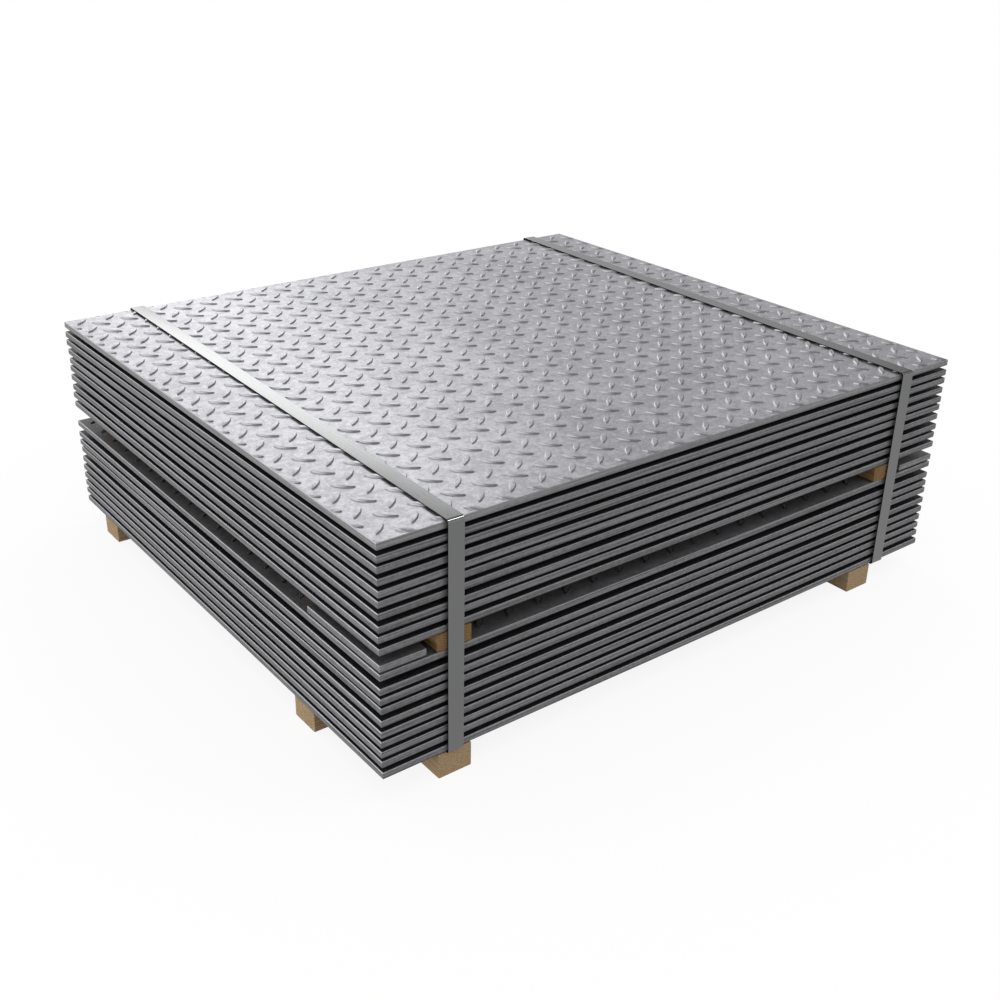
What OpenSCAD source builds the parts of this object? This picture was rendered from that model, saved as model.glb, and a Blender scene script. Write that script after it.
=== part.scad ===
// A strapped bundle of checker steel plates: two packs of plates with timber
// spacers between them, lying on timber bearers and held by two steel straps.
// X runs along the front edge, Y from front to back and Z up from the floor.
// The origin is on the floor, under the middle of the plates.

/* [Plates] */
// Width of a plate, along its front edge
plate_w = 1000; // [500:10:1500]
// Depth of a plate, from its front edge to its back edge
plate_d = 900; // [500:10:1500]
// Thickness of a plate without its lugs
plate_t = 10; // [6:0.5:20]
// Plates in each of the two packs
pack_count = 10; // [2:1:12]
// Radius of the rolled-over lower edge that the shear leaves
rollover_r = 1.2; // [0.3:0.1:3]

/* [Lugs] */
// Pitch of the lug pattern, in both directions
lug_pitch = 45; // [36:1:80]
// Length of a lug from tip to tip
lug_l = 31; // [20:0.5:34]
// Width of a lug at its middle
lug_w = 9; // [5:0.5:12]
// Height of a lug above the plate
lug_h = 4.5; // [1.5:0.1:6]
// First right-leaning lug's middle, from the left edge
lug_start_x = 22; // [0:0.5:45]
// First right-leaning lug's middle, from the front edge
lug_start_y = 28; // [0:0.5:45]
// Width of the band along the edges in which a covered plate has its lugs
lug_band = 45; // [40:1:200]

/* [Straps] */
// Width of a strap
strap_w = 22; // [13:1:32]
// Thickness of a strap
strap_t = 1; // [0.5:0.1:2]
// Gap between a strap's upright legs and the plates' edges
strap_standoff = 3; // [2:0.1:6]
// Inner radius of a strap's bends
strap_bend_r = 3; // [1:0.1:5]
// Middle of the left strap, from the plates' left edge
strap_left_x = 111; // [60:1:200]
// Middle of the right strap, from the plates' right edge
strap_right_x = 90; // [60:1:200]
// How far the left strap's back leg stands to the right of its front leg
strap_left_skew = 20; // [-30:1:30]
// How far the right strap's back leg stands to the right of its front leg
strap_right_skew = 26; // [-30:1:30]
// Length of the crimped seal on a strap's back leg
seal_l = 32; // [20:1:50]
// Thickness of the seal's sheet
seal_t = 0.8; // [0.5:0.1:1.2]
// Width of each lip that the seal folds behind its strap
seal_lip = 7; // [3:0.5:8]

/* [Timbers] */
// Width of every timber
timber_w = 48; // [30:1:70]
// Height of the bearers and chocks under the plates
bearer_h = 34; // [20:1:100]
// Thickness of the spacers and packers between the packs
spacer_t = 22; // [10:1:50]
// Middle of the left bearer, from the plates' left edge
bearer_left_x = 102; // [80:1:240]
// Middle of the right bearer, from the plates' right edge
bearer_right_x = 140; // [80:1:240]
// Middle of the left spacer, from the plates' left edge
spacer_left_x = 101; // [80:1:240]
// Middle of the right spacer, from the plates' right edge
spacer_right_x = 116; // [80:1:240]
// Inset of the chocks from the plates' side edges
chock_inset = 5; // [0:1:15]
// Inset of the packers from the plates' side edges
packer_inset = 24; // [0:1:30]
// Room between a chock or packer and the strap or timber beside it
chock_gap = 5; // [1:1:15]
// Middle of the front chocks and packers, from the plates' front edge
chock_front_y = 190; // [60:1:240]
// Middle of the back chocks and packers, from the plates' back edge
chock_back_y = 84; // [60:1:240]
// Radius of the timbers' long edges
timber_edge_r = 1.5; // [0.5:0.1:4]

/* [Shims] */
// Thickness of the steel offcuts between the packs at the front corners
shim_t = 10; // [4:0.5:10]
// Room between a shim and the spacer beside it
shim_gap = 13; // [1:1:20]

/* [Hidden] */
$fn = 96;
strap_clearance = 0.3;
seal_clearance = 0.1;
lug_root = 1;

SIDES = ["left", "right"];
ENDS = ["front", "back"];

plate_count = 2 * pack_count;
plate_pitch = plate_t + lug_h;
pack_h = pack_count * plate_pitch - lug_h;
spacer_z = bearer_h + pack_h + lug_h;
upper_pack_z = spacer_z + spacer_t;
stack_top = upper_pack_z + pack_h;

// Two arcs of this radius meet at a lug's tips
lug_arc_r = (pow(lug_l, 2) + pow(lug_w, 2)) / (4 * lug_w);

strap_loop = [plate_d + 2 * strap_standoff, stack_top + lug_h - bearer_h];
strap_back_y = plate_d / 2 + strap_standoff + strap_t / 2;

steel = [0.70, 0.72, 0.75];
strap_steel = [0.42, 0.43, 0.44];
timber_tan = [0.62, 0.49, 0.33];

function two_digits(i) = i < 10 ? str("0", i) : str(i);
function plate_name(i) = str("plate_", two_digits(i));

// Plates are counted from the floor
function plate_z(i) = i <= pack_count
    ? bearer_h + (i - 1) * plate_pitch
    : upper_pack_z + (i - 1 - pack_count) * plate_pitch;

function pick(side, left, right) = side == "left" ? left : right;

// X of a point that lies this far inside the plates' edge on one side
function inside_x(side, distance) = pick(side, -1, 1) * (plate_w / 2 - distance);

function strap_inset(side) = pick(side, strap_left_x, strap_right_x);
function strap_skew(side) = pick(side, strap_left_skew, strap_right_skew);
function bearer_inset(side) = pick(side, bearer_left_x, bearer_right_x);
function spacer_inset(side) = pick(side, spacer_left_x, spacer_right_x);
function chock_y(end) = end == "front" ? chock_front_y - plate_d / 2 : plate_d / 2 - chock_back_y;

// A chock stops short of the bearer or the strap, whichever is nearer to the side edge
function strap_reach(side) = strap_inset(side) - strap_w / 2 - abs(strap_skew(side)) / 2;
function chock_l(side) = min(bearer_inset(side) - timber_w / 2, strap_reach(side)) - chock_gap - chock_inset;
function packer_l(side) = spacer_inset(side) - timber_w / 2 - chock_gap - packer_inset;

// A shim fills a front corner, out to the spacer's side and back to the front packer
function shim_l(side) = spacer_inset(side) - timber_w / 2 - shim_gap;
shim_d = chock_front_y - timber_w / 2 - chock_gap;

module rounded_square(size, r) {
    translate([r, 0]) square([size.x - 2 * r, size.y]);
    translate([0, r]) square([size.x, size.y - 2 * r]);
    for (x = [r, size.x - r], y = [r, size.y - r])
        translate([x, y]) circle(r);
}

// Section of a sheared sheet, with its two lower corners rolled over
module sheared_section(width, thickness) {
    translate([0, rollover_r]) square([width, thickness - rollover_r]);
    translate([rollover_r, 0]) square([width - 2 * rollover_r, thickness]);
    for (x = [rollover_r, width - rollover_r])
        translate([x, rollover_r]) circle(rollover_r);
}

module sheet(width, depth, thickness) {
    intersection() {
        translate([0, depth, 0]) rotate([90, 0, 0]) linear_extrude(depth) sheared_section(width, thickness);
        rotate([90, 0, 90]) linear_extrude(width) sheared_section(depth, thickness);
    }
}

module lug_outline(lean) {
    rotate(lean)
        intersection() {
            translate([0, lug_arc_r - lug_w / 2]) circle(lug_arc_r);
            translate([0, lug_w / 2 - lug_arc_r]) circle(lug_arc_r);
        }
}

// Lugs of one lean on a square grid, out to the given distance from the nearest edge.
// The left-leaning grid lies half a pitch from the right-leaning one, both ways.
module lug_grid(lean, shift, band) {
    for (x = [lug_start_x - shift : lug_pitch : plate_w + lug_pitch / 2],
         y = [lug_start_y - shift : lug_pitch : plate_d + lug_pitch / 2])
        if (min(x, plate_w - x, y, plate_d - y) < band)
            translate([x, y]) lug_outline(lean);
}

module raised(h) {
    translate([0, 0, plate_t - lug_root])
        linear_extrude(lug_root + h)
            intersection() {
                square([plate_w, plate_d]);
                children();
            }
}

// The top plate shows its whole pattern. A plate that another covers has the lugs along
// its edges, which carry the plate or the timbers above it.
module plate(i) {
    is_top = i == plate_count;
    color(steel)
        translate([-plate_w / 2, -plate_d / 2, plate_z(i)]) {
            sheet(plate_w, plate_d, plate_t);
            raised(lug_h) {
                lug_grid(45, 0, is_top ? plate_w : lug_band);
                if (is_top) lug_grid(-45, lug_pitch / 2, plate_w);
            }
        }
}

// Puts its children on a strap's middle, turned as the strap is
module at_strap(side) {
    translate([inside_x(side, strap_inset(side)), 0, 0])
        rotate(-atan2(strap_skew(side), strap_loop.x))
            children();
}

// A closed loop round all the plates, lying on the top plate's lugs
module strap(side) {
    color(strap_steel)
        at_strap(side)
            translate([0, -strap_loop.x / 2 - strap_t, bearer_h - strap_t]) rotate([90, 0, 90])
                linear_extrude(strap_w, center = true)
                    difference() {
                        rounded_square(strap_loop + 2 * [strap_t, strap_t], strap_bend_r + strap_t);
                        translate([strap_t, strap_t]) rounded_square(strap_loop, strap_bend_r);
                    }
}

// A folded sheet sleeve round the strap, open behind it between its two lips
module seal(side) {
    inner = [strap_w + 2 * seal_clearance, strap_t + 2 * seal_clearance];
    outer = inner + 2 * [seal_t, seal_t];
    color(strap_steel)
        at_strap(side)
            translate([0, strap_back_y, (bearer_h + stack_top - seal_l) / 2]) linear_extrude(seal_l)
                difference() {
                    square(outer, center = true);
                    square(inner, center = true);
                    translate([0, -outer.y / 2]) square([inner.x - 2 * seal_lip, outer.y], center = true);
                }
}

// A sawn bar along Y with eased long edges
module timber(length, height) {
    color(timber_tan)
        rotate([90, 0, 0])
            linear_extrude(length, center = true)
                translate([-timber_w / 2, 0]) rounded_square([timber_w, height], timber_edge_r);
}

// Room for the straps where they pass between the bottom plate and a timber
module strap_grooves() {
    for (side = SIDES)
        at_strap(side) translate([0, 0, bearer_h])
            cube([strap_w + 2 * strap_clearance, 2 * plate_d, 2 * (strap_t + strap_clearance)], center = true);
}

module bearer(side) {
    difference() {
        translate([inside_x(side, bearer_inset(side)), 0, 0]) timber(plate_d, bearer_h);
        strap_grooves();
    }
}

module spacer(side) {
    translate([inside_x(side, spacer_inset(side)), 0, spacer_z]) timber(plate_d, spacer_t);
}

module chock(end, side) {
    translate([inside_x(side, chock_inset + chock_l(side) / 2), chock_y(end), 0])
        rotate(90) timber(chock_l(side), bearer_h);
}

module packer(end, side) {
    translate([inside_x(side, packer_inset + packer_l(side) / 2), chock_y(end), spacer_z])
        rotate(90) timber(packer_l(side), spacer_t);
}

// An offcut of sheared plate that lies on the lower pack at a front corner
module shim(side) {
    color(steel)
        translate([pick(side, -plate_w / 2, plate_w / 2 - shim_l(side)), -plate_d / 2, spacer_z])
            sheet(shim_l(side), shim_d, shim_t);
}

for (i = [1 : plate_count])
    plate(i);

for (side = SIDES) {
    strap(side);
    seal(side);
    bearer(side);
    spacer(side);
    shim(side);
}

for (end = ENDS, side = SIDES) {
    chock(end, side);
    packer(end, side);
}
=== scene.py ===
"""A strapped bundle of checker steel plates on timber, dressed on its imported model."""

import math
import random

import bmesh
import bpy
from bpy.props import FloatProperty, FloatVectorProperty, IntProperty, PointerProperty
from mathutils import Matrix, Vector


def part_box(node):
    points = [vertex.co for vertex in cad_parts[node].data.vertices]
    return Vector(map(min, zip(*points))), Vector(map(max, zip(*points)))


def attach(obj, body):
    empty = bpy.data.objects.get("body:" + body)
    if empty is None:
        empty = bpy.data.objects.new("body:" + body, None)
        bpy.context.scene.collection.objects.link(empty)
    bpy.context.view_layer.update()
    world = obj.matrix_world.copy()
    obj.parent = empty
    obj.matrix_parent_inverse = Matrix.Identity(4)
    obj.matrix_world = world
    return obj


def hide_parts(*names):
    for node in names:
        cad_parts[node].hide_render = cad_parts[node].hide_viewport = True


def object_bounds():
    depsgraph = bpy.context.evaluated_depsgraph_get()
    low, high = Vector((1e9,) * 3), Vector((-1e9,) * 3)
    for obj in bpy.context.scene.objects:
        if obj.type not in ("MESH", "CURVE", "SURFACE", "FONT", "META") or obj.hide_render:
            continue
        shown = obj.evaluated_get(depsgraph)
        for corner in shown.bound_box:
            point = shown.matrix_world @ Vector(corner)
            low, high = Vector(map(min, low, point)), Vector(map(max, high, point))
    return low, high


bl_info = {
    "name": "Checker Plate Bundle",
    "version": (1, 0, 0),
    "blender": (4, 5, 0),
    "location": "View3D > Sidebar > Bundle",
    "description": "Dresses a strapped bundle of checker plates with lugs, edges, finishes and a stage",
    "category": "Add Mesh",
}

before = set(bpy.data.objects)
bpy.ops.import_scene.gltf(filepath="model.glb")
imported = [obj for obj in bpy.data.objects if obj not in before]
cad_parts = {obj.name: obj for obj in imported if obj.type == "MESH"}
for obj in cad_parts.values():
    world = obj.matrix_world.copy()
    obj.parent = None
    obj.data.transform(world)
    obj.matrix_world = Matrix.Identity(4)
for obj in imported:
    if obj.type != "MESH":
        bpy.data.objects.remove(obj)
CAD_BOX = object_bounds()

MM = 0.001
PLATES = sorted(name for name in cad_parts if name.startswith("plate_"))
TOP_PLATE = PLATES[-1]
PACK_COUNT = len(PLATES) // 2
BASE_PLATES = (PLATES[0], PLATES[PACK_COUNT])
SPACER_PLATE = PLATES[PACK_COUNT - 1]
SIDES = ("left", "right")
STRAPS = [f"strap_{side}" for side in SIDES]
SEALS = [f"seal_{side}" for side in SIDES]
SHIMS = [f"shim_{side}" for side in SIDES]
BEARERS = [f"bearer_{side}" for side in SIDES]
SPACERS = [f"spacer_{side}" for side in SIDES]
SHORT_TIMBERS = [
    f"{kind}_{end}_{side}" for kind in ("chock", "packer") for end in ("front", "back") for side in SIDES
]
PLATE_THICKNESS = 10 * MM
SEAT_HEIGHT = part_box(PLATES[1])[0][2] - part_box(PLATES[0])[0][2] - PLATE_THICKNESS
SENSOR_WIDTH = 36.0
FINISHES = {}


def length(name, description, default):
    return FloatProperty(
        name=name, description=description, default=default, subtype="DISTANCE", unit="LENGTH"
    )


def angle(name, description, degrees):
    return FloatProperty(
        name=name, description=description, default=math.radians(degrees), subtype="ANGLE", unit="ROTATION"
    )


def power(name, description, watts):
    return FloatProperty(name=name, description=description, default=watts, subtype="POWER", unit="POWER")


def fraction(name, description, default):
    return FloatProperty(
        name=name, description=description, default=default, subtype="FACTOR", min=0.0, max=1.0
    )


def colour(name, description, default):
    return FloatVectorProperty(
        name=name, description=description, default=default, subtype="COLOR", size=3, min=0.0, max=1.0
    )


class PlateSettings(bpy.types.PropertyGroup):
    """Sizes and colours of the checker plates."""

    lug_pitch: length("Lug pitch", "Distance between like lugs, both ways", 45 * MM)
    lug_length: length("Lug length", "A lug from tip to tip", 31 * MM)
    lug_width: length("Lug width", "A lug across its middle", 9 * MM)
    lug_height: length("Lug height", "A pressed lug above the plate", 2.0 * MM)
    lug_start_x: length("First lug, across", "First right-leaning lug from the left edge", 22 * MM)
    lug_start_y: length("First lug, deep", "First right-leaning lug from the front edge", 28 * MM)
    rollover: length("Rolled-over edge", "Radius of the lower edge", 2.6 * MM)
    burr: length("Worn edge", "Radius of the upper edge", 0.9 * MM)
    wander: length("Stacking error", "How far a plate lies out of line", 0.9 * MM)
    warp: length("Warp", "How far a plate's edge rises or dips", 0.4 * MM)
    settle: length("Settling", "How far a covered plate lies above or below its place", 1.5 * MM)
    face: colour("Rolled face", "Colour of the top plate's mill finish", (0.62, 0.62, 0.655))
    # Painted shade: the covered faces are kept near black so that the narrow gaps between the plates look
    # shaded.
    covered: colour("Covered face", "Colour of the oiled faces between the plates", (0.023, 0.0235, 0.025))
    # Painted shade, less dark: the face seen in the wide gap under the spacers.
    aired: colour("Shaded face", "Colour of the face under the spacers", (0.12, 0.121, 0.126))
    offcut: colour("Shim", "Colour of the offcuts between the packs", (0.16, 0.161, 0.165))
    edge: colour("Sheared edge", "Colour of the cut edges", (0.22, 0.22, 0.228))


class StrapSettings(bpy.types.PropertyGroup):
    """Sizes and colour of the straps."""

    width: length("Width", "Width of a strap", 22 * MM)
    thickness: length("Thickness", "Thickness of a strap", 1 * MM)
    bend: length("Bend", "Outer radius of a strap's bends", 4 * MM)
    left_skew: length("Left skew", "How far the left strap's back leg stands to the right", 20 * MM)
    right_skew: length("Right skew", "How far the right strap's back leg stands to the right", 26 * MM)
    steel: colour("Strap", "Colour of the strapping", (0.30, 0.302, 0.305))


class TimberSettings(bpy.types.PropertyGroup):
    """Colours of the bearers, spacers, chocks and packers."""

    early: colour("Early wood", "Colour between the rings", (0.55, 0.405, 0.235))
    late: colour("Late wood", "Colour of the rings", (0.31, 0.2, 0.1))
    aged: colour("Aged wood", "Tint of the spacers", (0.55, 0.45, 0.29))
    ring_pitch: length("Ring pitch", "Distance between two growth rings", 3.4 * MM)


class StageSettings(bpy.types.PropertyGroup):
    """Camera, lights and floor."""

    camera_at: FloatVectorProperty(
        name="Camera", description="Place of the camera", default=(-1.1085, -1.4410, 0.9599), subtype="XYZ",
        unit="LENGTH",
    )
    azimuth: angle("Azimuth", "Turn of the view", -37.90)
    elevation: angle("Elevation", "Height of the view", 26.02)
    roll: angle("Roll", "Tilt of the horizon", 1.11)
    focal: FloatProperty(name="Focal length", description="Lens, in mm", default=45.28, unit="CAMERA")
    floor: colour("Floor", "Colour of the floor", (0.90, 0.90, 0.90))
    ambient: fraction("Ambient", "Strength of the even light", 0.95)
    bright_wall: fraction("Bright wall", "What metal shows of the wall behind", 0.87)
    side_wall: fraction("Side wall", "What metal shows of the wall on the right", 0.56)
    dim_wall: fraction("Dim wall", "What metal shows of the wall in front", 0.15)
    dim_ceiling: fraction("Dim ceiling", "Share of a wall's light that metal shows overhead", 0.5)
    back_watts: power("Back strip", "Power of the slanted strip light behind", 3.6)
    top_watts: power("Top light", "Power of the small light in front", 2.4)
    card_watts: power("Card", "Power of the low card on the left", 7.0)
    seed: IntProperty(name="Seed", description="Seed of the stacking errors", default=7)


class Wire:
    """An output socket. Its operators add Math nodes to the tree that it belongs to."""

    def __init__(self, web, socket):
        self.web = web
        self.socket = socket

    def math(self, operation, *values):
        return self.web.node("ShaderNodeMath", {"operation": operation}, dict(enumerate((self,) + values)))

    def __add__(self, other):
        return self.math("ADD", other)

    __radd__ = __add__

    def __mul__(self, other):
        return self.math("MULTIPLY", other)

    __rmul__ = __mul__

    def __sub__(self, other):
        return self.math("SUBTRACT", other)

    def __rsub__(self, other):
        return (self * -1.0) + other

    def __truediv__(self, other):
        return self.math("DIVIDE", other)

    def ramp(self, low, high):
        """0 below low and 1 above high, with a smooth rise between."""
        inputs = {"Value": self, "From Min": low, "From Max": high}
        return self.web.node("ShaderNodeMapRange", {"interpolation_type": "SMOOTHSTEP"}, inputs)

    def part(self, axis):
        """One component of a vector."""
        return self.web.node("ShaderNodeSeparateXYZ", {}, {"Vector": self}, axis)


class Web:
    """A node tree in which expressions string the wires."""

    def __init__(self, tree):
        self.tree = tree

    def plug(self, target, value):
        if isinstance(value, Wire):
            self.tree.links.new(value.socket, target)
        else:
            target.default_value = value

    def node(self, kind, settings, inputs, output=0):
        made = self.tree.nodes.new(kind)
        for key, value in settings.items():
            setattr(made, key, value)
        for key, value in inputs.items():
            self.plug(made.inputs[key], value)
        return Wire(self, made.outputs[output])

    def seen(self):
        """Two wires: 1 for the eye's own rays, and 1 for those and what metal and glass show."""
        kinds = ("Is Camera Ray", "Is Glossy Ray", "Is Transmission Ray")
        eye, glossy, clear = (self.node("ShaderNodeLightPath", {}, {}, kind) for kind in kinds)
        return eye, eye.math("MAXIMUM", glossy).math("MAXIMUM", clear)


class Finish(Web):
    """A procedural material on Object coordinates."""

    def __init__(self, name):
        self.material = bpy.data.materials.new(name)
        self.material.use_nodes = True
        super().__init__(self.material.node_tree)
        self.shader = self.tree.nodes["Principled BSDF"]
        self.place = self.node("ShaderNodeTexCoord", {}, {}, "Object")
        self.normal = self.node("ShaderNodeNewGeometry", {}, {}, "True Normal")

    def stretched(self, scale):
        """Object coordinates, scaled along each axis."""
        return self.node("ShaderNodeMapping", {}, {"Vector": self.place, "Scale": scale})

    def noise(self, scale, detail=3.0, rough=0.55, vector=None, distortion=0.0):
        inputs = {
            "Vector": vector or self.place, "Scale": scale, "Detail": detail,
            "Roughness": rough, "Distortion": distortion,
        }
        return self.node("ShaderNodeTexNoise", {}, inputs, "Fac")

    def mix(self, factor, first, second):
        """A colour between two colours."""
        settings = {"data_type": "RGBA"}
        colours = [c if isinstance(c, Wire) else (*c, 1.0) for c in (first, second)]
        return self.node("ShaderNodeMix", settings, {0: factor, 6: colours[0], 7: colours[1]}, 2)

    def bump(self, height, distance, strength):
        inputs = {"Height": height, "Distance": distance, "Strength": strength}
        return self.node("ShaderNodeBump", {}, inputs)

    def set(self, **inputs):
        for key, value in inputs.items():
            self.plug(self.shader.inputs[key.replace("_", " ")], value)
        return self.material


def shades(tint, *levels):
    """A colour at several levels of brightness."""
    return [tuple(min(1.0, c * level) for c in tint) for level in levels]


LUG_MARK = "lug"
# A mask rises from 0 to 1 between two levels of how far a face looks up, or down for EDGE_TURNS_DOWN
PLATE_TURNS_UP = (0.15, 0.35)
PLATE_LIES_FLAT = (0.94, 0.985)
LUG_LIES_FLAT = (0.8, 0.97)
EDGE_TURNS_DOWN = (0.05, 0.4)
EDGE_METAL = 0.25
ARRIS_METAL = 0.8
FLANK_METAL = 1.0
EDGE_ROUGHNESS = 0.5


def plate_finish(name, settings, face, metal):
    """Mill-finished steel with a painted highlight on its lug flanks and dull sheared edges bright on top;
    faces that look down get painted shade, which on the rolled-over edge also stands for a fracture band.
    """
    finish = Finish(name)
    tilt = finish.normal.part("Z")
    lug = finish.node("ShaderNodeAttribute", {"attribute_name": LUG_MARK}, {}, "Fac")
    side = (1.0 - tilt.ramp(*PLATE_TURNS_UP)) * (1.0 - lug)
    arris = tilt.ramp(*PLATE_TURNS_UP) * (1.0 - tilt.ramp(*PLATE_LIES_FLAT)) * (1.0 - lug)
    flank = lug * (1.0 - tilt.ramp(*LUG_LIES_FLAT))
    clouds = finish.noise(6.0, 4.0, 0.6)
    smear = finish.noise(1.0, 5.0, 0.6, finish.stretched((9.0, 90.0, 90.0)), 0.4)
    grain = finish.noise(260.0, 3.0, 0.65)
    mottle = finish.noise(110.0, 3.0, 0.6)
    tone = (clouds * 0.2 + smear * 0.15 + mottle * 0.35 + grain * 0.3).ramp(0.4, 0.6)
    # A lug's flanks get a brighter colour than the face: a painted highlight that makes the lug rims shine.
    rolled = finish.mix(flank, finish.mix(tone, *shades(face, 0.72, 1.12)), shades(face, 1.4)[0])
    drawn = finish.noise(1.0, 4.0, 0.65, finish.stretched((4.0, 4.0, 560.0)))
    worn = finish.noise(180.0, 3.0, 0.6)
    cut_tone = (drawn * 0.75 + worn * 0.25).ramp(0.38, 0.62)
    # The darkest colour is painted shade on every face that looks down, the plate's underside too; on the
    # rolled-over edge it also stands for the dull fracture band.
    dull, clean, bright, torn_and_shaded = shades(settings.edge, 0.56, 1.26, 2.6, 0.12)
    cut = finish.mix((tilt * -1.0).ramp(*EDGE_TURNS_DOWN), finish.mix(cut_tone, dull, clean), torn_and_shaded)
    shine = side * (EDGE_METAL - metal) + flank * (FLANK_METAL - metal) + metal
    relief = (grain * 0.7 + mottle * 1.2) * (1.0 - side) + drawn * side * 0.8
    return finish.set(
        Base_Color=finish.mix(arris, finish.mix(side, rolled, cut), bright),
        Metallic=shine * (1.0 - arris) + arris * ARRIS_METAL,
        Roughness=(clouds * 0.12 + grain * 0.14 + 0.20) * (1.0 - side) + side * EDGE_ROUGHNESS,
        Specular_IOR_Level=metal,
        Normal=finish.bump(relief, 0.35 * MM, 0.5),
    )


# Such levels for a strap, of how far a face looks up, sideways for SLIT_EDGE and down for STRAP_UNDERSIDE
STRAP_TURNS_UP = (0.0, 0.4)
BEND_BEGINS = (0.2, 0.5)
BEND_ENDS = (0.8, 0.98)
SLIT_EDGE = (0.6, 0.8)
STRAP_UNDERSIDE = (0.5, 0.8)


def strap_finish(name, settings, upright):
    """Cold-rolled strapping with fine lines, a painted highlight on its bends, and near-black painted shade
    on its slit edges and underside; upright is the painted shade of its upright faces, as a share of its
    steel colour.
    """
    finish = Finish(name)
    lines = finish.noise(1.0, 4.0, 0.6, finish.stretched((900.0, 3.0, 3.0)))
    clouds = finish.noise(14.0, 3.0, 0.5)
    tone = (lines * 0.6 + clouds * 0.4).ramp(0.3, 0.7)
    level = finish.normal.part("Z")
    bend = level.ramp(*BEND_BEGINS) * (1.0 - level.ramp(*BEND_ENDS))
    slit = finish.normal.part("X").math("ABSOLUTE").ramp(*SLIT_EDGE)
    under = (level * -1.0).ramp(*STRAP_UNDERSIDE)
    dull, clean, bend_highlight, shaded_legs, shaded = shades(settings.steel, 0.9, 1.1, 2.8, upright, 0.04)
    # Upright faces take a darker copy of the steel: painted shade.
    drawn = finish.mix(level.ramp(*STRAP_TURNS_UP), shaded_legs, finish.mix(tone, dull, clean))
    # The bends take a much brighter colour: a painted highlight.
    drawn = finish.mix(bend, drawn, bend_highlight)
    return finish.set(
        # Slit edges and underside are painted near black: painted shade beside and under the strap.
        Base_Color=finish.mix(slit.math("MAXIMUM", under), drawn, shaded),
        Metallic=1.0,
        Roughness=clouds * 0.05 + 0.12,
        Normal=finish.bump(lines, 0.02 * MM, 0.5),
    )


# A timber's rings lie round a heart beside and below it, and are mirrored every log's width and height
LOG_WIDTH = 90 * MM
LOG_HEIGHT = 110 * MM
HEART_BESIDE = 30 * MM
HEART_BELOW = 50 * MM
RING_WOBBLE = 20 * MM
# How thick the dirt lies, and how bright it is against the rings
DIRT_COVER = 0.5
DIRT_LEVEL = 0.5


def timber_finish(name, settings, turn, tint=(1.0, 1.0, 1.0)):
    """Sawn softwood whose fibres run along the timber: turn is its heading about Z."""
    finish = Finish(name)
    woods = (settings.early, settings.late)
    early, late = (tuple(c * t for c, t in zip(wood, tint)) for wood in woods)
    along = finish.node("ShaderNodeMapping", {}, {"Vector": finish.place, "Rotation": (0.0, 0.0, turn)})

    def drawn_out(scale):
        return finish.node("ShaderNodeMapping", {}, {"Vector": along, "Scale": scale})

    wobble = finish.noise(1.0, 2.0, 0.5, drawn_out((14.0, 2.0, 14.0)))
    across = along.part("X").math("PINGPONG", LOG_WIDTH) - HEART_BESIDE
    up = along.part("Z").math("PINGPONG", LOG_HEIGHT) + HEART_BELOW
    radius = (across * across + up * up).math("SQRT") + wobble * RING_WOBBLE
    ring = ((radius / settings.ring_pitch).math("FRACT") - 0.5).math("ABSOLUTE") * 2.0
    fibre = finish.noise(1.0, 4.0, 0.6, drawn_out((420.0, 9.0, 420.0)))
    stain = finish.noise(20.0, 4.0, 0.6)
    tone = ring.ramp(0.4, 1.0) * 0.4 + fibre.ramp(0.38, 0.62) * 0.6
    wood = finish.mix(tone, early, late)
    saw = finish.noise(1.0, 2.0, 0.5, drawn_out((30.0, 420.0, 30.0)))
    return finish.set(
        Base_Color=finish.mix(stain.ramp(0.52, 0.8) * DIRT_COVER, wood, *shades(late, DIRT_LEVEL)),
        Roughness=0.74 + fibre * 0.16,
        Normal=finish.bump(fibre * 0.6 + saw * 0.5 + ring * 0.2, 0.5 * MM, 0.6),
    )


def dress(node, material):
    """Gives a CAD node its finish."""
    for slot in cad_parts[node].material_slots:
        slot.material = material


SHARP = math.radians(20)
MERGE = 0.01 * MM
CUT = 0.001 * MM
# A face looks along an axis where its normal's part on that axis is over this
FACING = 0.5


def piece(name, bm, material, slot, *nodes):
    """Turns a bmesh into a piece that stands for the CAD nodes, hides them, and hangs the piece under the
    root body.
    """
    mesh = bpy.data.meshes.new(name)
    bm.to_mesh(mesh)
    bm.free()
    for face in mesh.polygons:
        face.use_smooth = True
    mesh.set_sharp_from_angle(angle=SHARP)
    mesh.materials.append(material)
    obj = bpy.data.objects.new(name, mesh)
    bpy.context.scene.collection.objects.link(obj)
    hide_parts(*nodes)
    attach(obj, "root")
    return obj


def verts_in(geometry):
    return [item for item in geometry if isinstance(item, bmesh.types.BMVert)]


def whole(bm):
    """Everything in a bmesh."""
    return bm.verts[:] + bm.edges[:] + bm.faces[:]


def bevel(bm, geometry, radius, steps, affect="EDGES"):
    """Rounds off edges or corners."""
    bmesh.ops.bevel(
        bm, geom=geometry, offset=radius, offset_type="OFFSET", affect=affect, segments=steps, profile=0.5,
        material=-1,
    )


def swing(bm, verts, heading):
    """Turns vertices about Z."""
    bmesh.ops.rotate(bm, verts=verts, cent=(0, 0, 0), matrix=Matrix.Rotation(heading, 3, "Z"))


def repeat(bm, geometry, count, step):
    """Copies geometry count - 1 times, one step further each time, and returns all of it."""
    everything = list(geometry)
    for n in range(1, count):
        copy = bmesh.ops.duplicate(bm, geom=geometry)["geom"]
        bmesh.ops.translate(bm, verts=verts_in(copy), vec=step * n)
        everything += copy
    return everything


LUG_STATIONS = 6
LUG_ROOT = 1.0 * MM
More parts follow.
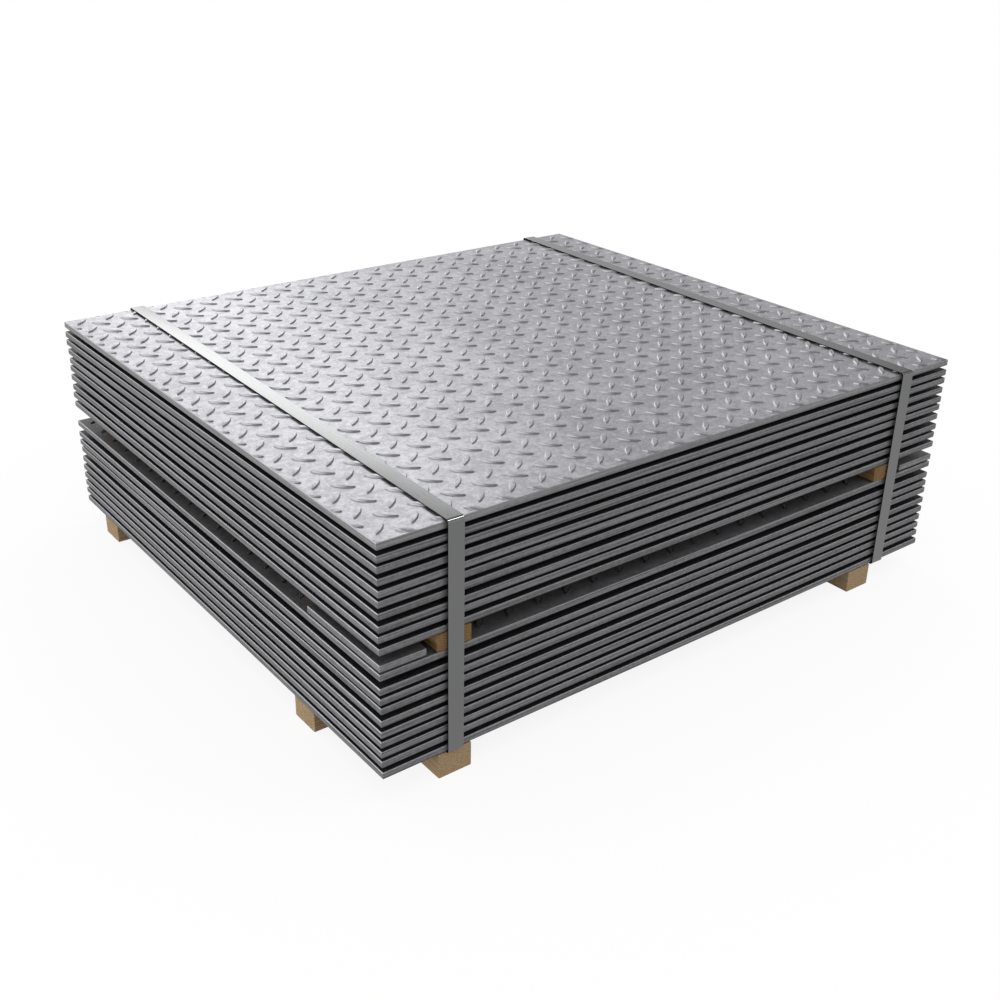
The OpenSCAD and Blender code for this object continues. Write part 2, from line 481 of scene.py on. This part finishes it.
# Half of a lug's section from its foot to its crown, as shares of its half width and its height
LUG_SECTION = ((1.0, 0.0), (0.9, 0.56), (0.8, 0.83), (0.66, 0.975), (0.0, 1.0))
LUG_STEPS = 2 * (len(LUG_SECTION) - 1)
LUG_LEAN = math.radians(45)
# A lug has its full height wherever it is wider than its widest divided by this
LUG_FULL = 3.0
# Share of its height that a lug keeps where the plate was sheared, and how far in it is pressed
SHEARED_LUG = 0.03
SHEAR_REACH = 8 * MM


def marked(bm):
    """Marks the faces of a mesh of lugs, so that a finish can tell them from the plate."""
    mark = bm.faces.layers.float.new(LUG_MARK)
    for face in bm.faces:
        face[mark] = 1.0
    return bm


def add_lug(bm, settings, lean):
    """One closed lens lug at the origin: an arc from tip to tip, spun over and pressed to its section."""
    half = settings.lug_length / 2
    waist = settings.lug_width / 2
    arc = (half**2 + waist**2) / (2 * waist)
    before = set(bm.verts)
    spine = []
    for i in range(LUG_STATIONS + 1):
        x = -half * math.cos(math.pi * i / LUG_STATIONS)
        spine.append(bm.verts.new((x, -(math.sqrt(arc**2 - x**2) - arc + waist), 0.0)))
    edges = [bm.edges.new(pair) for pair in zip(spine, spine[1:])]
    bmesh.ops.spin(
        bm, geom=spine + edges, cent=(0, 0, 0), axis=(1, 0, 0), dvec=(0, 0, 0), angle=-math.pi,
        steps=LUG_STEPS,
    )
    mine = [v for v in bm.verts if v not in before]
    bmesh.ops.remove_doubles(bm, verts=mine, dist=MERGE)
    mine = [v for v in bm.verts if v not in before]
    for v in mine:
        reach = math.hypot(v.co.y, v.co.z)
        step = round(math.atan2(abs(v.co.z), abs(v.co.y)) / math.pi * LUG_STEPS)
        across, up = LUG_SECTION[step]
        v.co.y = math.copysign(reach * across, v.co.y)
        v.co.z = settings.lug_height * up * min(1.0, LUG_FULL * reach / waist)
    rim = list(dict.fromkeys(e for v in mine for e in v.link_edges if e.is_boundary))
    skirt = bmesh.ops.extrude_edge_only(bm, edges=rim)["geom"]
    bmesh.ops.translate(bm, verts=verts_in(skirt), vec=(0, 0, -LUG_ROOT))
    low = [e for e in skirt if isinstance(e, bmesh.types.BMEdge) and e.is_boundary]
    bmesh.ops.edgeloop_fill(bm, edges=low)
    mine = [v for v in bm.verts if v not in before]
    swing(bm, mine, lean)
    faces = {f for v in mine for f in v.link_faces}
    bmesh.ops.recalc_face_normals(bm, faces=list(faces))
    return mine + list({e for v in mine for e in v.link_edges}) + list(faces)


def trim(bm, low, high):
    """Shears a mesh of closed shells to an upright box and closes the cuts."""
    for axis, corner, sign in ((0, low, -1), (0, high, 1), (1, low, -1), (1, high, 1)):
        normal = Vector((0, 0, 0))
        normal[axis] = sign
        cut = bmesh.ops.bisect_plane(
            bm, geom=whole(bm), dist=CUT, plane_co=corner, plane_no=normal, clear_outer=True
        )["geom_cut"]
        edges = [e for e in cut if isinstance(e, bmesh.types.BMEdge)]
        if edges:
            bmesh.ops.edgeloop_fill(bm, edges=edges)


def lug_field(settings, low, high):
    """A plate's whole pattern up to its worn edge: two grids of lugs, crosswise and half a pitch apart."""
    bm = bmesh.new()
    pitch = settings.lug_pitch
    start = low + Vector((settings.lug_start_x, settings.lug_start_y, 0))
    columns = int((high.x - low.x) / pitch) + 2
    rows = int((high.y - low.y) / pitch) + 2
    for lean, shift in ((LUG_LEAN, 0.0), (-LUG_LEAN, pitch / 2)):
        lug = add_lug(bm, settings, lean)
        place = start + Vector((-shift, -shift, PLATE_THICKNESS))
        bmesh.ops.translate(bm, verts=verts_in(lug), vec=place)
        row = repeat(bm, lug, columns, Vector((pitch, 0, 0)))
        repeat(bm, row, rows, Vector((0, pitch, 0)))
    worn = Vector((settings.burr, settings.burr, 0))
    low, high = low + worn, high - worn
    trim(bm, low, high)
    for v in bm.verts:
        rise = v.co.z - low.z - PLATE_THICKNESS
        inside = min(v.co.x - low.x, high.x - v.co.x, v.co.y - low.y, high.y - v.co.y)
        if rise > 0:
            share = SHEARED_LUG + (1.0 - SHEARED_LUG) * min(1.0, inside / SHEAR_REACH)
            v.co.z = low.z + PLATE_THICKNESS + rise * share
    return marked(bm)


def edge_lugs(settings, low, high):
    """The right-leaning lugs along a covered plate's edges."""
    bm = bmesh.new()
    pitch = settings.lug_pitch
    start = low + Vector((settings.lug_start_x, settings.lug_start_y, 0))
    columns = int((high.x - start.x) / pitch) + 1
    rows = int((high.y - start.y) / pitch) + 1
    across = Vector((pitch, 0, 0))
    deep = Vector((0, pitch, 0))
    lug = add_lug(bm, settings, LUG_LEAN)
    bmesh.ops.translate(bm, verts=verts_in(lug), vec=start + Vector((0, 0, PLATE_THICKNESS)))
    row = repeat(bm, lug, columns, across)
    repeat(bm, row, 2, deep * (rows - 1))
    flank = bmesh.ops.duplicate(bm, geom=lug)["geom"]
    bmesh.ops.translate(bm, verts=verts_in(flank), vec=deep)
    column = repeat(bm, flank, rows - 2, deep)
    repeat(bm, column, 2, across * (columns - 1))
    return marked(bm)


SHEET_CELLS = 40 * MM
BURR_STEPS = 2
ROLLOVER_STEPS = 4


def sheet(settings, low, high):
    """A sheared sheet with a worn upper edge and a rolled-over lower one."""
    bm = bmesh.new()
    cells = [max(2, round((high[i] - low[i]) / SHEET_CELLS)) for i in (0, 1)]
    bmesh.ops.create_grid(bm, x_segments=cells[0], y_segments=cells[1], size=0.5)
    bmesh.ops.scale(bm, verts=bm.verts, vec=(high.x - low.x, high.y - low.y, 1.0))
    bmesh.ops.translate(bm, verts=bm.verts, vec=((low.x + high.x) / 2, (low.y + high.y) / 2, low.z))
    top = bmesh.ops.extrude_face_region(bm, geom=bm.faces[:], use_keep_orig=True)["geom"]
    bmesh.ops.translate(bm, verts=verts_in(top), vec=(0, 0, PLATE_THICKNESS))
    bmesh.ops.recalc_face_normals(bm, faces=bm.faces)
    for height, radius, steps in (
        (low.z + PLATE_THICKNESS, settings.burr, BURR_STEPS),
        (low.z, settings.rollover, ROLLOVER_STEPS),
    ):
        rim = [
            e for e in bm.edges
            if all(abs(v.co.z - height) < MERGE for v in e.verts)
            and any(abs(f.normal.z) < FACING for f in e.link_faces)
        ]
        bevel(bm, rim, radius, steps)
    return bm


WARP_WAVES = (0.8, 2.2)


def unsettle(bm, settings, rng, low, high, lift):
    """Warps a plate a little, lays it slightly out of line and lifts it."""
    phases = [rng.uniform(0, math.tau) for _ in range(2)]
    turns = [rng.uniform(*WARP_WAVES) for _ in range(2)]
    for v in bm.verts:
        u = (v.co.x - low.x) / (high.x - low.x)
        w = (v.co.y - low.y) / (high.y - low.y)
        waves = sum(math.sin(math.tau * t * at + p) for t, at, p in zip(turns, (u, w), phases))
        v.co.z += settings.warp / 2 * waves
    shift = Vector((rng.uniform(-1, 1), rng.uniform(-1, 1), 0)) * settings.wander
    bmesh.ops.translate(bm, verts=bm.verts, vec=shift + Vector((0, 0, lift)))


def combined(*parts):
    """One bmesh that holds several."""
    both = bmesh.new()
    for part in parts:
        mesh = bpy.data.meshes.new("part")
        part.to_mesh(mesh)
        part.free()
        both.from_mesh(mesh)
        bpy.data.meshes.remove(mesh)
    return both


def corners(node):
    """The low and the high corner of a CAD node's box."""
    return [Vector(corner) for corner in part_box(node)]


def plate_corners(node, settings):
    """The box in which a plate may lie: its CAD box, less the stacking error at the sides."""
    low, high = corners(node)
    inset = Vector((settings.wander, settings.wander, 0))
    return low + inset, high - inset


class BUNDLE_OT_top_plate(bpy.types.Operator):
    """Models the top plate with its whole lug pattern"""

    bl_idname = "bundle.top_plate"
    bl_label = "Top plate"

    def execute(self, context):
        settings = context.scene.bundle_plates
        low, high = plate_corners(TOP_PLATE, settings)
        body = sheet(settings, low, high)
        lugs = lug_field(settings, low, high)
        piece("top_plate", combined(body, lugs), FINISHES["top_plate"], "plate_steel", TOP_PLATE)
        return {"FINISHED"}


def plate_lift(node, settings, rng):
    """How far a covered plate is lifted. One on timber isn't, and one under timber meets it."""
    free = rng.uniform(-1, 1) * settings.settle
    if node in BASE_PLATES:
        return 0.0
    if node == SPACER_PLATE:
        return SEAT_HEIGHT - settings.lug_height
    return free


class BUNDLE_OT_covered_plates(bpy.types.Operator):
    """Models the plates under the top one, each with its own small warp and stacking error"""

    bl_idname = "bundle.covered_plates"
    bl_label = "Covered plates"

    def execute(self, context):
        settings = context.scene.bundle_plates
        rng = random.Random(context.scene.bundle_stage.seed)
        for node in PLATES[:-1]:
            low, high = plate_corners(node, settings)
            plate = combined(sheet(settings, low, high), edge_lugs(settings, low, high))
            unsettle(plate, settings, rng, low, high, plate_lift(node, settings, rng))
            # The plate under the spacers, seen in the wide gap, gets a lighter painted shade than the other
            # covered plates.
            finish = FINISHES["aired_plate" if node == SPACER_PLATE else "covered_plate"]
            piece(f"covered_{node}", plate, finish, "plate_steel", node)
        return {"FINISHED"}


STRAP_ARRIS = 0.2 * MM
STRAP_ARRIS_STEPS = 2
STRAP_BEND_STEPS = 6
STRAP_RIM = math.radians(60)


def band(settings, turn, low, high):
    """A strap: an oblong with rounded corners, drawn out to the strap's width and thickened."""
    depth = high.y - low.y
    half = (depth - settings.width * math.sin(turn)) / 2 / math.cos(turn)
    bm = bmesh.new()
    loop = [(-half, low.z), (half, low.z), (half, high.z), (-half, high.z)]
    outline = bm.faces.new([bm.verts.new((-settings.width / 2, y, z)) for y, z in loop])
    bevel(bm, outline.verts[:], settings.bend, STRAP_BEND_STEPS, "VERTICES")
    wall = bmesh.ops.extrude_edge_only(bm, edges=bm.edges[:])["geom"]
    bmesh.ops.translate(bm, verts=verts_in(wall), vec=(settings.width, 0, 0))
    bmesh.ops.delete(bm, geom=[f for f in bm.faces if abs(f.normal.x) > FACING], context="FACES_ONLY")
    bmesh.ops.recalc_face_normals(bm, faces=bm.faces)
    bmesh.ops.solidify(bm, geom=bm.faces[:], thickness=settings.thickness)
    bmesh.ops.recalc_face_normals(bm, faces=bm.faces)
    rims = [e for e in bm.edges if abs(e.calc_face_angle(0.0)) > STRAP_RIM]
    bevel(bm, rims, STRAP_ARRIS, STRAP_ARRIS_STEPS)
    swing(bm, bm.verts, -turn)
    bmesh.ops.translate(bm, verts=bm.verts, vec=((low.x + high.x) / 2, (low.y + high.y) / 2, 0))
    return bm


SEAL_LAP = 1.8 * MM
SEAL_ARRIS = 0.3 * MM
SEAL_ARRIS_STEPS = 2
SEAL_CRIMPS = (0.3, 0.7)
CRIMP_REACH = 2.4 * MM
CRIMP_DEPTH = 0.5 * MM


def sleeve(settings, turn, low, high):
    """A seal: a flat sleeve round a strap, pinched by two crimps and turned with the strap."""
    width = settings.width + SEAL_LAP
    size = Vector((width, (high.y - low.y - width * math.sin(turn)) / math.cos(turn), high.z - low.z))
    bm = bmesh.new()
    bmesh.ops.create_cube(bm, size=1.0)
    bmesh.ops.scale(bm, verts=bm.verts, vec=size)
    bevel(bm, bm.edges[:], SEAL_ARRIS, SEAL_ARRIS_STEPS)
    for share in SEAL_CRIMPS:
        middle = (share - 0.5) * size.z
        for reach in (-CRIMP_REACH, 0.0, CRIMP_REACH):
            at = Vector((0, 0, middle + reach))
            bmesh.ops.bisect_plane(bm, geom=whole(bm), dist=CUT, plane_co=at, plane_no=(0, 0, 1))
        for v in bm.verts:
            if abs(v.co.z - middle) < MERGE:
                v.co.x -= math.copysign(CRIMP_DEPTH, v.co.x)
                v.co.y -= math.copysign(CRIMP_DEPTH, v.co.y)
    swing(bm, bm.verts, -turn)
    bmesh.ops.translate(bm, verts=bm.verts, vec=(low + high) / 2)
    return bm


class BUNDLE_OT_straps(bpy.types.Operator):
    """Models the straps and their crimped seals"""

    bl_idname = "bundle.straps"
    bl_label = "Straps and seals"

    def execute(self, context):
        settings = context.scene.bundle_straps
        sink = SEAT_HEIGHT - context.scene.bundle_plates.lug_height
        for strap, seal, skew in zip(STRAPS, SEALS, (settings.left_skew, settings.right_skew)):
            low, high = corners(strap)
            turn = math.atan(skew / (high.y - low.y))
            high.z -= sink
            body = band(settings, turn, low, high)
            piece(f"{strap}_band", body, FINISHES["strap"], "strap_steel", strap)
            body = sleeve(settings, turn, *corners(seal))
            piece(f"{seal}_sleeve", body, FINISHES["seal"], "strap_steel", seal)
        return {"FINISHED"}


class BUNDLE_OT_shims(bpy.types.Operator):
    """Models the steel offcuts at the front corners between the packs"""

    bl_idname = "bundle.shims"
    bl_label = "Shims"

    def execute(self, context):
        settings = context.scene.bundle_plates
        for node in SHIMS:
            low, high = plate_corners(node, settings)
            piece(f"{node}_offcut", sheet(settings, low, high), FINISHES["shim"], "plate_steel", node)
        return {"FINISHED"}


class BUNDLE_OT_timbers(bpy.types.Operator):
    """Gives the bearers, spacers, chocks and packers their wood"""

    bl_idname = "bundle.timbers"
    bl_label = "Timbers"

    def execute(self, context):
        for finish, nodes in (("bearer", BEARERS), ("spacer", SPACERS), ("short_timber", SHORT_TIMBERS)):
            for node in nodes:
                dress(node, FINISHES[finish])
        return {"FINISHED"}


FLOOR_HALF = 30.0
# The glow that the eye and metal see, and the share of the floor's colour that takes the shadow
FLOOR_GLOW = 0.88
FLOOR_SHADE = 0.14
# The way to the bright wall, and the levels of facing it at which the side wall and it come in
BRIGHT_SIDE = Vector((-0.6, 0.8, 0.0))
SIDE_FACING = (-0.2, 0.0)
BRIGHT_FACING = (0.2, 0.37)
CEILING = (0.5, 0.85)
BACK_STRIP_AT = Vector((0.95, 2.5, 1.46))
BACK_STRIP_SIZE = (2.2, 0.3)
BACK_STRIP_ROLL = math.radians(-42)
TOP_LIGHT_AT = Vector((0.73, -1.28, 1.9))
TOP_LIGHT_SIZE = (0.7, 0.3)
LEFT_CARD_AT = Vector((-2.2, 0.2, 0.17))
LEFT_CARD_SIZE = (1.6, 0.28)
WHITE = (1.0, 1.0, 1.0, 1.0)


def add_floor(scene, settings):
    """A wide pale floor that looks white but keeps a soft shadow."""
    bm = bmesh.new()
    bmesh.ops.create_grid(bm, x_segments=1, y_segments=1, size=FLOOR_HALF)
    mesh = bpy.data.meshes.new("floor")
    bm.to_mesh(mesh)
    bm.free()
    floor = bpy.data.objects.new("floor", mesh)
    scene.collection.objects.link(floor)
    material = bpy.data.materials.new("pale_floor")
    material.use_nodes = True
    web = Web(material.node_tree)
    _, seen = web.seen()
    paint = shades(settings.floor, FLOOR_SHADE)[0]
    matt = web.node("ShaderNodeBsdfDiffuse", {}, {"Color": (*paint, 1.0)})
    glow = web.node("ShaderNodeEmission", {}, {"Strength": seen * FLOOR_GLOW})
    both = web.node("ShaderNodeAddShader", {}, {0: matt, 1: glow})
    web.plug(web.tree.nodes["Material Output"].inputs["Surface"], both)
    mesh.materials.append(material)


def light_world(scene, settings):
    """Even light, in which the eye sees white, and metal sees walls that are brightest behind."""
    world = bpy.data.worlds.new("studio")
    world.use_nodes = True
    web = Web(world.node_tree)
    eye, seen = web.seen()
    towards = web.node("ShaderNodeTexCoord", {}, {}, "Generated")
    sides = {0: towards, 1: BRIGHT_SIDE}
    facing = web.node("ShaderNodeVectorMath", {"operation": "DOT_PRODUCT"}, sides, "Value")
    wall = facing.ramp(*SIDE_FACING) * (settings.side_wall - settings.dim_wall) + settings.dim_wall
    wall = facing.ramp(*BRIGHT_FACING) * (settings.bright_wall - settings.side_wall) + wall
    ceiling = towards.part("Z").ramp(*CEILING) * (settings.dim_ceiling - 1.0) + 1.0
    shown = (seen - eye) * wall * ceiling
    background = web.tree.nodes["Background"].inputs
    web.plug(background["Color"], WHITE)
    web.plug(background["Strength"], eye + shown + (1.0 - seen) * settings.ambient)
    scene.world = world


def add_lamp(scene, name, place, aim, size, watts, roll=0.0):
    """An oblong soft light that points at the bundle, turned about its own axis by roll."""
    light = bpy.data.lights.new(name, "AREA")
    light.shape = "RECTANGLE"
    light.size, light.size_y = size
    light.energy = watts
    lamp = bpy.data.objects.new(name, light)
    lamp.visible_camera = False
    facing = (aim - place).to_track_quat("-Z", "Y").to_matrix() @ Matrix.Rotation(roll, 3, "Z")
    lamp.matrix_world = Matrix.Translation(place) @ facing.to_4x4()
    scene.collection.objects.link(lamp)


def add_camera(scene, settings):
    """The camera, looking along an azimuth and elevation with a slight roll."""
    back = Vector((
        math.sin(settings.azimuth) * math.cos(settings.elevation),
        -math.cos(settings.azimuth) * math.cos(settings.elevation),
        math.sin(settings.elevation),
    ))
    turned = back.to_track_quat("Z", "Y").to_matrix() @ Matrix.Rotation(settings.roll, 3, "Z")
    lens = bpy.data.cameras.new("camera")
    lens.lens = settings.focal
    lens.sensor_width = SENSOR_WIDTH
    camera = bpy.data.objects.new("camera", lens)
    camera.matrix_world = Matrix.Translation(Vector(settings.camera_at)) @ turned.to_4x4()
    scene.collection.objects.link(camera)
    scene.camera = camera


class BUNDLE_OT_stage(bpy.types.Operator):
    """Sets up the floor, the walls' light, the lamps and the camera"""

    bl_idname = "bundle.stage"
    bl_label = "Stage"

    def execute(self, context):
        scene = context.scene
        settings = scene.bundle_stage
        scene.view_settings.view_transform = "Standard"
        add_floor(scene, settings)
        light_world(scene, settings)
        aim = Vector((0, 0, (CAD_BOX[0][2] + CAD_BOX[1][2]) / 2))
        add_lamp(
            scene, "back_strip", BACK_STRIP_AT, aim, BACK_STRIP_SIZE, settings.back_watts, BACK_STRIP_ROLL
        )
        add_lamp(scene, "top_light", TOP_LIGHT_AT, aim, TOP_LIGHT_SIZE, settings.top_watts)
        add_lamp(scene, "left_card", LEFT_CARD_AT, aim, LEFT_CARD_SIZE, settings.card_watts)
        add_camera(scene, settings)
        return {"FINISHED"}


FACE_METAL = 0.92
OFFCUT_METAL = 0.5
# The next value keeps the faces between the plates dull, as part of their painted shade.
SHADED_METAL = 0.1
# How bright a strap's and a seal's upright faces are against their tops: painted shade.
STRAP_UPRIGHT_SHADE = 0.5
SEAL_UPRIGHT_SHADE = 0.95


class BUNDLE_OT_finishes(bpy.types.Operator):
    """Makes the materials of the steel and the wood"""

    bl_idname = "bundle.finishes"
    bl_label = "Finishes"

    def execute(self, context):
        plates = context.scene.bundle_plates
        FINISHES["top_plate"] = plate_finish("rolled_steel", plates, plates.face, FACE_METAL)
        FINISHES["shim"] = plate_finish("offcut_steel", plates, plates.offcut, OFFCUT_METAL)
        # Painted shade: the covered plates and the plate under the spacers take dark colours so that the
        # gaps between the plates look shaded.
        FINISHES["covered_plate"] = plate_finish("shaded_rolled_steel", plates, plates.covered, SHADED_METAL)
        FINISHES["aired_plate"] = plate_finish("gap_shaded_rolled_steel", plates, plates.aired, SHADED_METAL)
        straps = context.scene.bundle_straps
        FINISHES["strap"] = strap_finish("strapping_steel", straps, STRAP_UPRIGHT_SHADE)
        FINISHES["seal"] = strap_finish("seal_steel", straps, SEAL_UPRIGHT_SHADE)
        timbers = context.scene.bundle_timbers
        FINISHES["bearer"] = timber_finish("sawn_timber_lengthwise", timbers, 0.0)
        FINISHES["spacer"] = timber_finish("aged_timber_lengthwise", timbers, 0.0, timbers.aged)
        FINISHES["short_timber"] = timber_finish("sawn_timber_crosswise", timbers, math.pi / 2)
        return {"FINISHED"}


class BUNDLE_PT_panel(bpy.types.Panel):
    """The bundle's pieces and their settings"""

    bl_idname = "BUNDLE_PT_panel"
    bl_label = "Checker Plate Bundle"
    bl_space_type = "VIEW_3D"
    bl_region_type = "UI"
    bl_category = "Bundle"

    def draw(self, context):
        for operator in OPERATORS:
            self.layout.operator(operator.bl_idname)
        for name in SETTINGS:
            group = getattr(context.scene, name)
            box = self.layout.box()
            for key in group.__annotations__:
                box.prop(group, key)


OPERATORS = (
    BUNDLE_OT_finishes,
    BUNDLE_OT_stage,
    BUNDLE_OT_top_plate,
    BUNDLE_OT_covered_plates,
    BUNDLE_OT_straps,
    BUNDLE_OT_shims,
    BUNDLE_OT_timbers,
)
SETTINGS = {
    "bundle_plates": PlateSettings,
    "bundle_straps": StrapSettings,
    "bundle_timbers": TimberSettings,
    "bundle_stage": StageSettings,
}
CLASSES = (*SETTINGS.values(), *OPERATORS, BUNDLE_PT_panel)


def register():
    for cls in CLASSES:
        bpy.utils.register_class(cls)
    for name, group in SETTINGS.items():
        setattr(bpy.types.Scene, name, PointerProperty(type=group))


def unregister():
    for name in SETTINGS:
        delattr(bpy.types.Scene, name)
    for cls in reversed(CLASSES):
        bpy.utils.unregister_class(cls)


def main():
    register()
    for operator in OPERATORS:
        group, name = operator.bl_idname.split(".")
        getattr(getattr(bpy.ops, group), name)()


if __name__ == "__main__":
    main()
